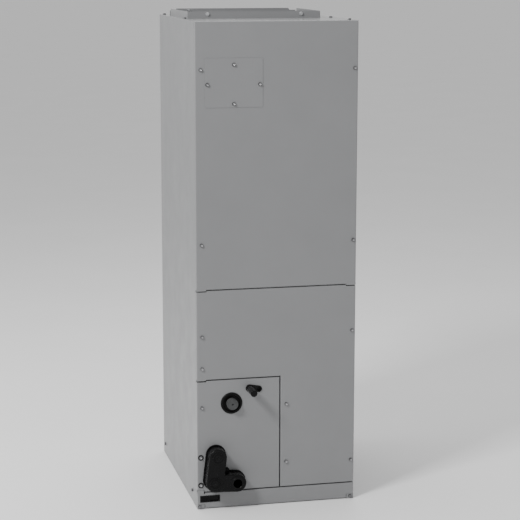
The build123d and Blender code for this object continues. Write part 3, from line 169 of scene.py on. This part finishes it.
def fibrous(name, colour, scale=160.0, depth=0.6):
    """Glass fibre lining or filter cloth: matted strands under a soft sheen."""
    mat, tree, bsdf, coords = shader(name, colour, 0.95)
    strands = noise(tree, coords, scale, 8.0, 0.7)
    tone = ramp(tree, strands, [(0.35, shade(colour, 0.6)), (0.65, shade(colour, 1.3))])
    tree.links.new(tone, bsdf.inputs["Base Color"])
    soft = bump(tree, bsdf, noise(tree, coords, 25.0, 3.0), 0.3, 0.004)
    bump(tree, bsdf, strands, depth, 0.0015, soft)
    bsdf.inputs["Sheen Weight"].default_value = 0.2
    return mat


ENAMEL = (0.185, 0.187, 0.191)
mats = {
    "painted_steel": painted("cabinet_enamel", ENAMEL),
    "galvanised_steel": galvanised("galvanised_sheet"),
    "lining": fibrous("black_lining", (0.02, 0.02, 0.021)),
    "circuit_board": moulded("board_resin", (0.012, 0.085, 0.035), 0.35),
    "iron": metal("core_steel", (0.16, 0.16, 0.17), 0.5),
    "motor_paint": painted("motor_enamel", (0.018, 0.018, 0.02), 0.35, 0.15),
    "can": metal("drawn_can", (0.66, 0.67, 0.68), 0.3),
    "black_plastic": moulded("black_moulding", (0.0028, 0.0028, 0.003), 0.26),
    "black_rubber": moulded("black_rubber", (0.003, 0.003, 0.003), 0.45, 700.0, 0.2),
    "fins": metal("fin_stock", (0.68, 0.69, 0.7), 0.35),
    "copper": metal("copper_tube", (0.72, 0.34, 0.2), 0.28),
    "brass": metal("brass_body", (0.62, 0.46, 0.2), 0.3),
    "grey_plastic": moulded("grey_moulding", (0.055, 0.056, 0.057), 0.5),
    "zinc": metal("screw_steel", (0.2, 0.2, 0.205), 0.34),
    "filter_card": fibrous("filter_card", (0.5, 0.44, 0.33), 90.0, 0.15),
    "filter_cloth": fibrous("filter_cloth", (0.62, 0.63, 0.62)),
}
slots = {entry["node"]: entry["material_slot"] for entry in frame["record"]["subparts"]}


def dress(obj, mat):
    """The object shows in one material."""
    obj.data.materials.clear()
    obj.data.materials.append(mat)


for node, obj in nodes.items():
    dress(obj, mats[slots[node]])
dress(nodes["top_panel"], painted("top_enamel", ENAMEL, 0.22, 0.03))
dress(nodes["duct_collar_sides"], mats["painted_steel"])
dress(nodes["duct_collar_ends"], mats["painted_steel"])
dress(nodes["liquid_cap"], mats["black_plastic"])
# A lighter steel for the screw centres: a painted highlight for their glint
highlight_dish_steel = metal("screw_highlight_dish", (0.42, 0.42, 0.43), 0.3)
dress(nodes["collar_screws"], mats["can"])


# Mesh helpers
def piece(name, mesh, body, material_slot, smooth=0.5):
    """A new object that rides on a body and takes a material slot's finish."""
    obj = bpy.data.objects.new(name, mesh)
    bpy.context.scene.collection.objects.link(obj)
    dress(obj, mats[material_slot])
    mesh.shade_smooth()
    if smooth:
        mesh.set_sharp_from_angle(angle=smooth)
    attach(obj, body)
    return obj


def turned(bm, profile, origin, axis, steps=48):
    """A lathe form: (radius, distance along the axis) points turned about it, with a face on each end."""
    turn = Vector(axis).to_track_quat("Z", "Y").to_matrix()
    rings = []
    for radius, along in profile:
        ring = []
        for step in range(steps):
            angle = 2 * pi * step / steps
            spot = turn @ Vector((radius * cos(angle), radius * sin(angle), along))
            ring.append(bm.verts.new(Vector(origin) + spot))
        rings.append(ring)
    for low, high in zip(rings, rings[1:]):
        for step in range(steps):
            after = (step + 1) % steps
            bm.faces.new((low[step], low[after], high[after], high[step]))
    for ring, flip in ((rings[0], True), (rings[-1], False)):
        bm.faces.new(list(reversed(ring)) if flip else ring)


def slab(bm, low, high, matrix):
    """A rectangular plate between two corners, placed by a matrix."""
    made = bmesh.ops.create_cube(bm, size=1.0)["verts"]
    size = Vector(high) - Vector(low)
    centre = (Vector(high) + Vector(low)) / 2
    place = matrix @ (Matrix.Translation(centre) @ Matrix.Diagonal((*size, 1.0)))
    bmesh.ops.transform(bm, matrix=place, verts=made)


def to_mesh(bm, name):
    """The finished mesh, with its normals outward."""
    bmesh.ops.recalc_face_normals(bm, faces=bm.faces[:])
    mesh = bpy.data.meshes.new(name)
    bm.to_mesh(mesh)
    bm.free()
    return mesh


# Coil slabs: two leaning stacks of fins
SLAB_TILT = radians(14.5)
SLAB_FOOT_X = 0.147
SLAB_FOOT_Z = 0.0538
SLAB_Y = (-0.205, 0.215)
SLAB_LENGTH = 0.49
FIN_PITCH = 0.003
FIN_HALF_DEPTH = 0.0218
FIN_HALF_THICKNESS = 0.0003
FIN_END = 0.0003

bm = bmesh.new()
for side in (-1, 1):
    foot = Matrix.Translation((side * SLAB_FOOT_X, 0, SLAB_FOOT_Z))
    lean = foot @ Matrix.Rotation(-side * SLAB_TILT, 4, "Y")
    for step in range(int((SLAB_Y[1] - SLAB_Y[0]) / FIN_PITCH)):
        y = SLAB_Y[0] + (step + 0.5) * FIN_PITCH
        low = (-FIN_HALF_DEPTH, y - FIN_HALF_THICKNESS, FIN_END)
        high = (FIN_HALF_DEPTH, y + FIN_HALF_THICKNESS, SLAB_LENGTH - FIN_END)
        slab(bm, low, high, lean)
fins = piece("coil_fins", to_mesh(bm, "coil_fins"), "cabinet", "fins", 0)
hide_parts("coil_slabs")

# Drain connector: plug faces, each in a ring of small bosses, and a ring on the port
OUTWARD = (0, -1, 0)
DRAIN_TIP = -0.3182
DRAIN_LOBES = {"top": (-0.17235, 0.155), "corner": (-0.18085, 0.083), "right": (-0.11785, 0.0795)}
PLUG_FACE = [(0.0165, -0.001), (0.0165, 0.0012), (0.0155, 0.0018), (0.0135, 0.0018), (0.0128, 0.0006)]
PLUG_FACE += [(0.0105, 0.0006), (0.0098, 0.0016), (0.003, 0.0016), (0.0022, 0.0009)]
BOSS = [(0.0013, -0.0005), (0.0013, 0.0005), (0.0009, 0.0008)]
BOSS_COUNT = 8
BOSS_CIRCLE = 0.0188
bm = bmesh.new()
for lobe in ("top", "corner"):
    x, z = DRAIN_LOBES[lobe]
    turned(bm, PLUG_FACE, (x, DRAIN_TIP, z), OUTWARD)
    for step in range(BOSS_COUNT):
        angle = radians(360 / BOSS_COUNT * (step + 0.5))
        spot = (x + BOSS_CIRCLE * cos(angle), DRAIN_TIP, z + BOSS_CIRCLE * sin(angle))
        turned(bm, BOSS, spot, OUTWARD, 12)
piece("drain_plugs", to_mesh(bm, "drain_plugs"), "cabinet", "black_plastic")

PORT_RING = [(0.0121, -0.0005), (0.0215, -0.0005), (0.0215, 0.0009), (0.0205, 0.0014), (0.0175, 0.0014)]
PORT_RING += [(0.0165, 0.0026), (0.0128, 0.0026), (0.0121, 0.0019)]
bm = bmesh.new()
x, z = DRAIN_LOBES["right"]
turned(bm, PORT_RING + PORT_RING[:1], (x, DRAIN_TIP, z), OUTWARD)
piece("drain_port_ring", to_mesh(bm, "drain_port_ring"), "cabinet", "black_plastic")

# Suction cap: a low raised face round its vent
CAP_FACE = [(0.0022, 0.0001), (0.0022, 0.0004), (0.004, 0.0007), (0.0105, 0.0007), (0.0118, 0.0002)]
CAP_FACE += [(0.0118, -0.0004)]
bm = bmesh.new()
cap_low, cap_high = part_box("suction_cap")
cap_x = (cap_low[0] + cap_high[0]) / 2
cap_z = (cap_low[2] + cap_high[2]) / 2
turned(bm, CAP_FACE + CAP_FACE[:1], (cap_x, cap_low[1], cap_z), OUTWARD)
piece("suction_cap_face", to_mesh(bm, "suction_cap_face"), "suction_stub_cap", "grey_plastic")

# Screws of the front, by body: places from the cabinet's left edge and the floor
HALF_WIDTH = 0.22385
FRONT_Y = -0.2802
HEAD = 0.0044
LID_THICKNESS = 0.001
LEFT_SCREW = 0.0097
RIGHT_SCREW = 0.4388
STILE_SCREW = 0.2517
PANEL_SCREWS = {
    "blower_panel": [(0.0153, 1.211), (0.0153, 0.7415), (RIGHT_SCREW, 1.211), (RIGHT_SCREW, 0.7415)],
    "coil_panel": [(0.0155, 0.488), (0.015, 0.399), (RIGHT_SCREW, 0.487), (RIGHT_SCREW, 0.114)],
    "cabinet": [(0.014, 0.289), (LEFT_SCREW, 0.148), (LEFT_SCREW, 0.0685)],
    "breaker_lid": [(0.10525, 1.224), (0.10525, 1.12), (0.0329, 1.17175), (0.176, 1.17175)],
}
PANEL_SCREWS["coil_panel"] += [(STILE_SCREW, 0.287), (STILE_SCREW, 0.121)]

# A dished centre in each screw head, in a lighter steel than the head: a painted highlight for the glint at
# its centre
DISH = [(0.0025, -0.0002), (0.0025, 0.0003), (0.002, 0.0006), (0.0013, 0.0001), (0.0005, 0.0001)]
for body, spots in PANEL_SCREWS.items():
    bm = bmesh.new()
    head_y = FRONT_Y - HEAD - (LID_THICKNESS if body == "breaker_lid" else 0.0)
    for across, z in spots:
        turned(bm, DISH, (across - HALF_WIDTH, head_y, z), OUTWARD, 16)
    dishes = piece(body + "_screw_dishes", to_mesh(bm, body + "_screw_dishes"), body, "zinc")
    dress(dishes, highlight_dish_steel)

# Rubber washers round the two low screws of the fitting panel
WASHER = [(0.0054, 0.0), (0.0078, 0.0), (0.0078, 0.0008), (0.0072, 0.0014), (0.006, 0.0014)]
WASHER += [(0.0054, 0.0009)]
bm = bmesh.new()
for across, z in PANEL_SCREWS["cabinet"][1:]:
    turned(bm, WASHER + WASHER[:1], (across - HALF_WIDTH, FRONT_Y, z), OUTWARD, 32)
piece("rubber_washers", to_mesh(bm, "rubber_washers"), "cabinet", "black_rubber")

# Floor and world
FLOOR_HALF = 60.0
FLOOR_Z = -0.0005
bm = bmesh.new()
corners = [(x * FLOOR_HALF, y * FLOOR_HALF) for x, y in ((-1, -1), (1, -1), (1, 1), (-1, 1))]
bm.faces.new([bm.verts.new((x, y, FLOOR_Z)) for x, y in corners])
floor = bpy.data.objects.new("floor", to_mesh(bm, "floor"))
bpy.context.scene.collection.objects.link(floor)
floor_mat, floor_tree, floor_bsdf, floor_coords = shader("pale_floor", (0.82, 0.82, 0.82), 0.6)
tones = [(0.3, (0.81, 0.81, 0.81)), (0.7, (0.83, 0.83, 0.83))]
tone = ramp(floor_tree, noise(floor_tree, floor_coords, 2.0), tones)
floor_tree.links.new(tone, floor_bsdf.inputs["Base Color"])
floor.data.materials.append(floor_mat)

world = bpy.data.worlds.new("studio")
bpy.context.scene.world = world
world.use_nodes = True
background = world.node_tree.nodes["Background"]
background.inputs["Color"].default_value = (1.0, 1.0, 1.0, 1.0)
background.inputs["Strength"].default_value = 0.72


# Lights
def area_light(name, place, target, size, power):
    """A square soft box that faces a point."""
    lamp = bpy.data.lights.new(name, "AREA")
    lamp.size = size
    lamp.energy = power
    obj = bpy.data.objects.new(name, lamp)
    obj.location = place
    obj.rotation_euler = (Vector(target) - Vector(place)).to_track_quat("-Z", "Y").to_euler()
    bpy.context.scene.collection.objects.link(obj)


area_light("key", (-3.0, -2.4, 3.6), (0, 0, 0.9), 1.0, 215)
area_light("side", (-3.4, 0.6, 1.9), (0, 0, 0.9), 1.6, 30)
area_light("top", (0.0, 1.2, 3.6), (0, 0, 1.3), 2.0, 50)

# Camera, from the fit to the photograph
EYE = (-1.01149, -4.51486, 1.50098)
YAW = 0.22388
PITCH = 0.18339
ROLL = 0.00075
FOCAL_PX = 1626.7
PHOTO_PX = 520
SENSOR_MM = 36.0
ahead = Vector((sin(YAW) * cos(PITCH), cos(YAW) * cos(PITCH), -sin(PITCH)))
right = Vector((cos(YAW), -sin(YAW), 0))
up = right.cross(ahead)
rolled_right = cos(ROLL) * right + sin(ROLL) * up
rolled_up = -sin(ROLL) * right + cos(ROLL) * up
camera = bpy.data.objects.new("camera", bpy.data.cameras.new("camera"))
camera.data.sensor_width = SENSOR_MM
camera.data.lens = FOCAL_PX / PHOTO_PX * SENSOR_MM
turn = Matrix((rolled_right, rolled_up, -ahead)).transposed()
camera.matrix_world = Matrix.Translation(EYE) @ turn.to_4x4()
bpy.context.scene.collection.objects.link(camera)
bpy.context.scene.camera = camera
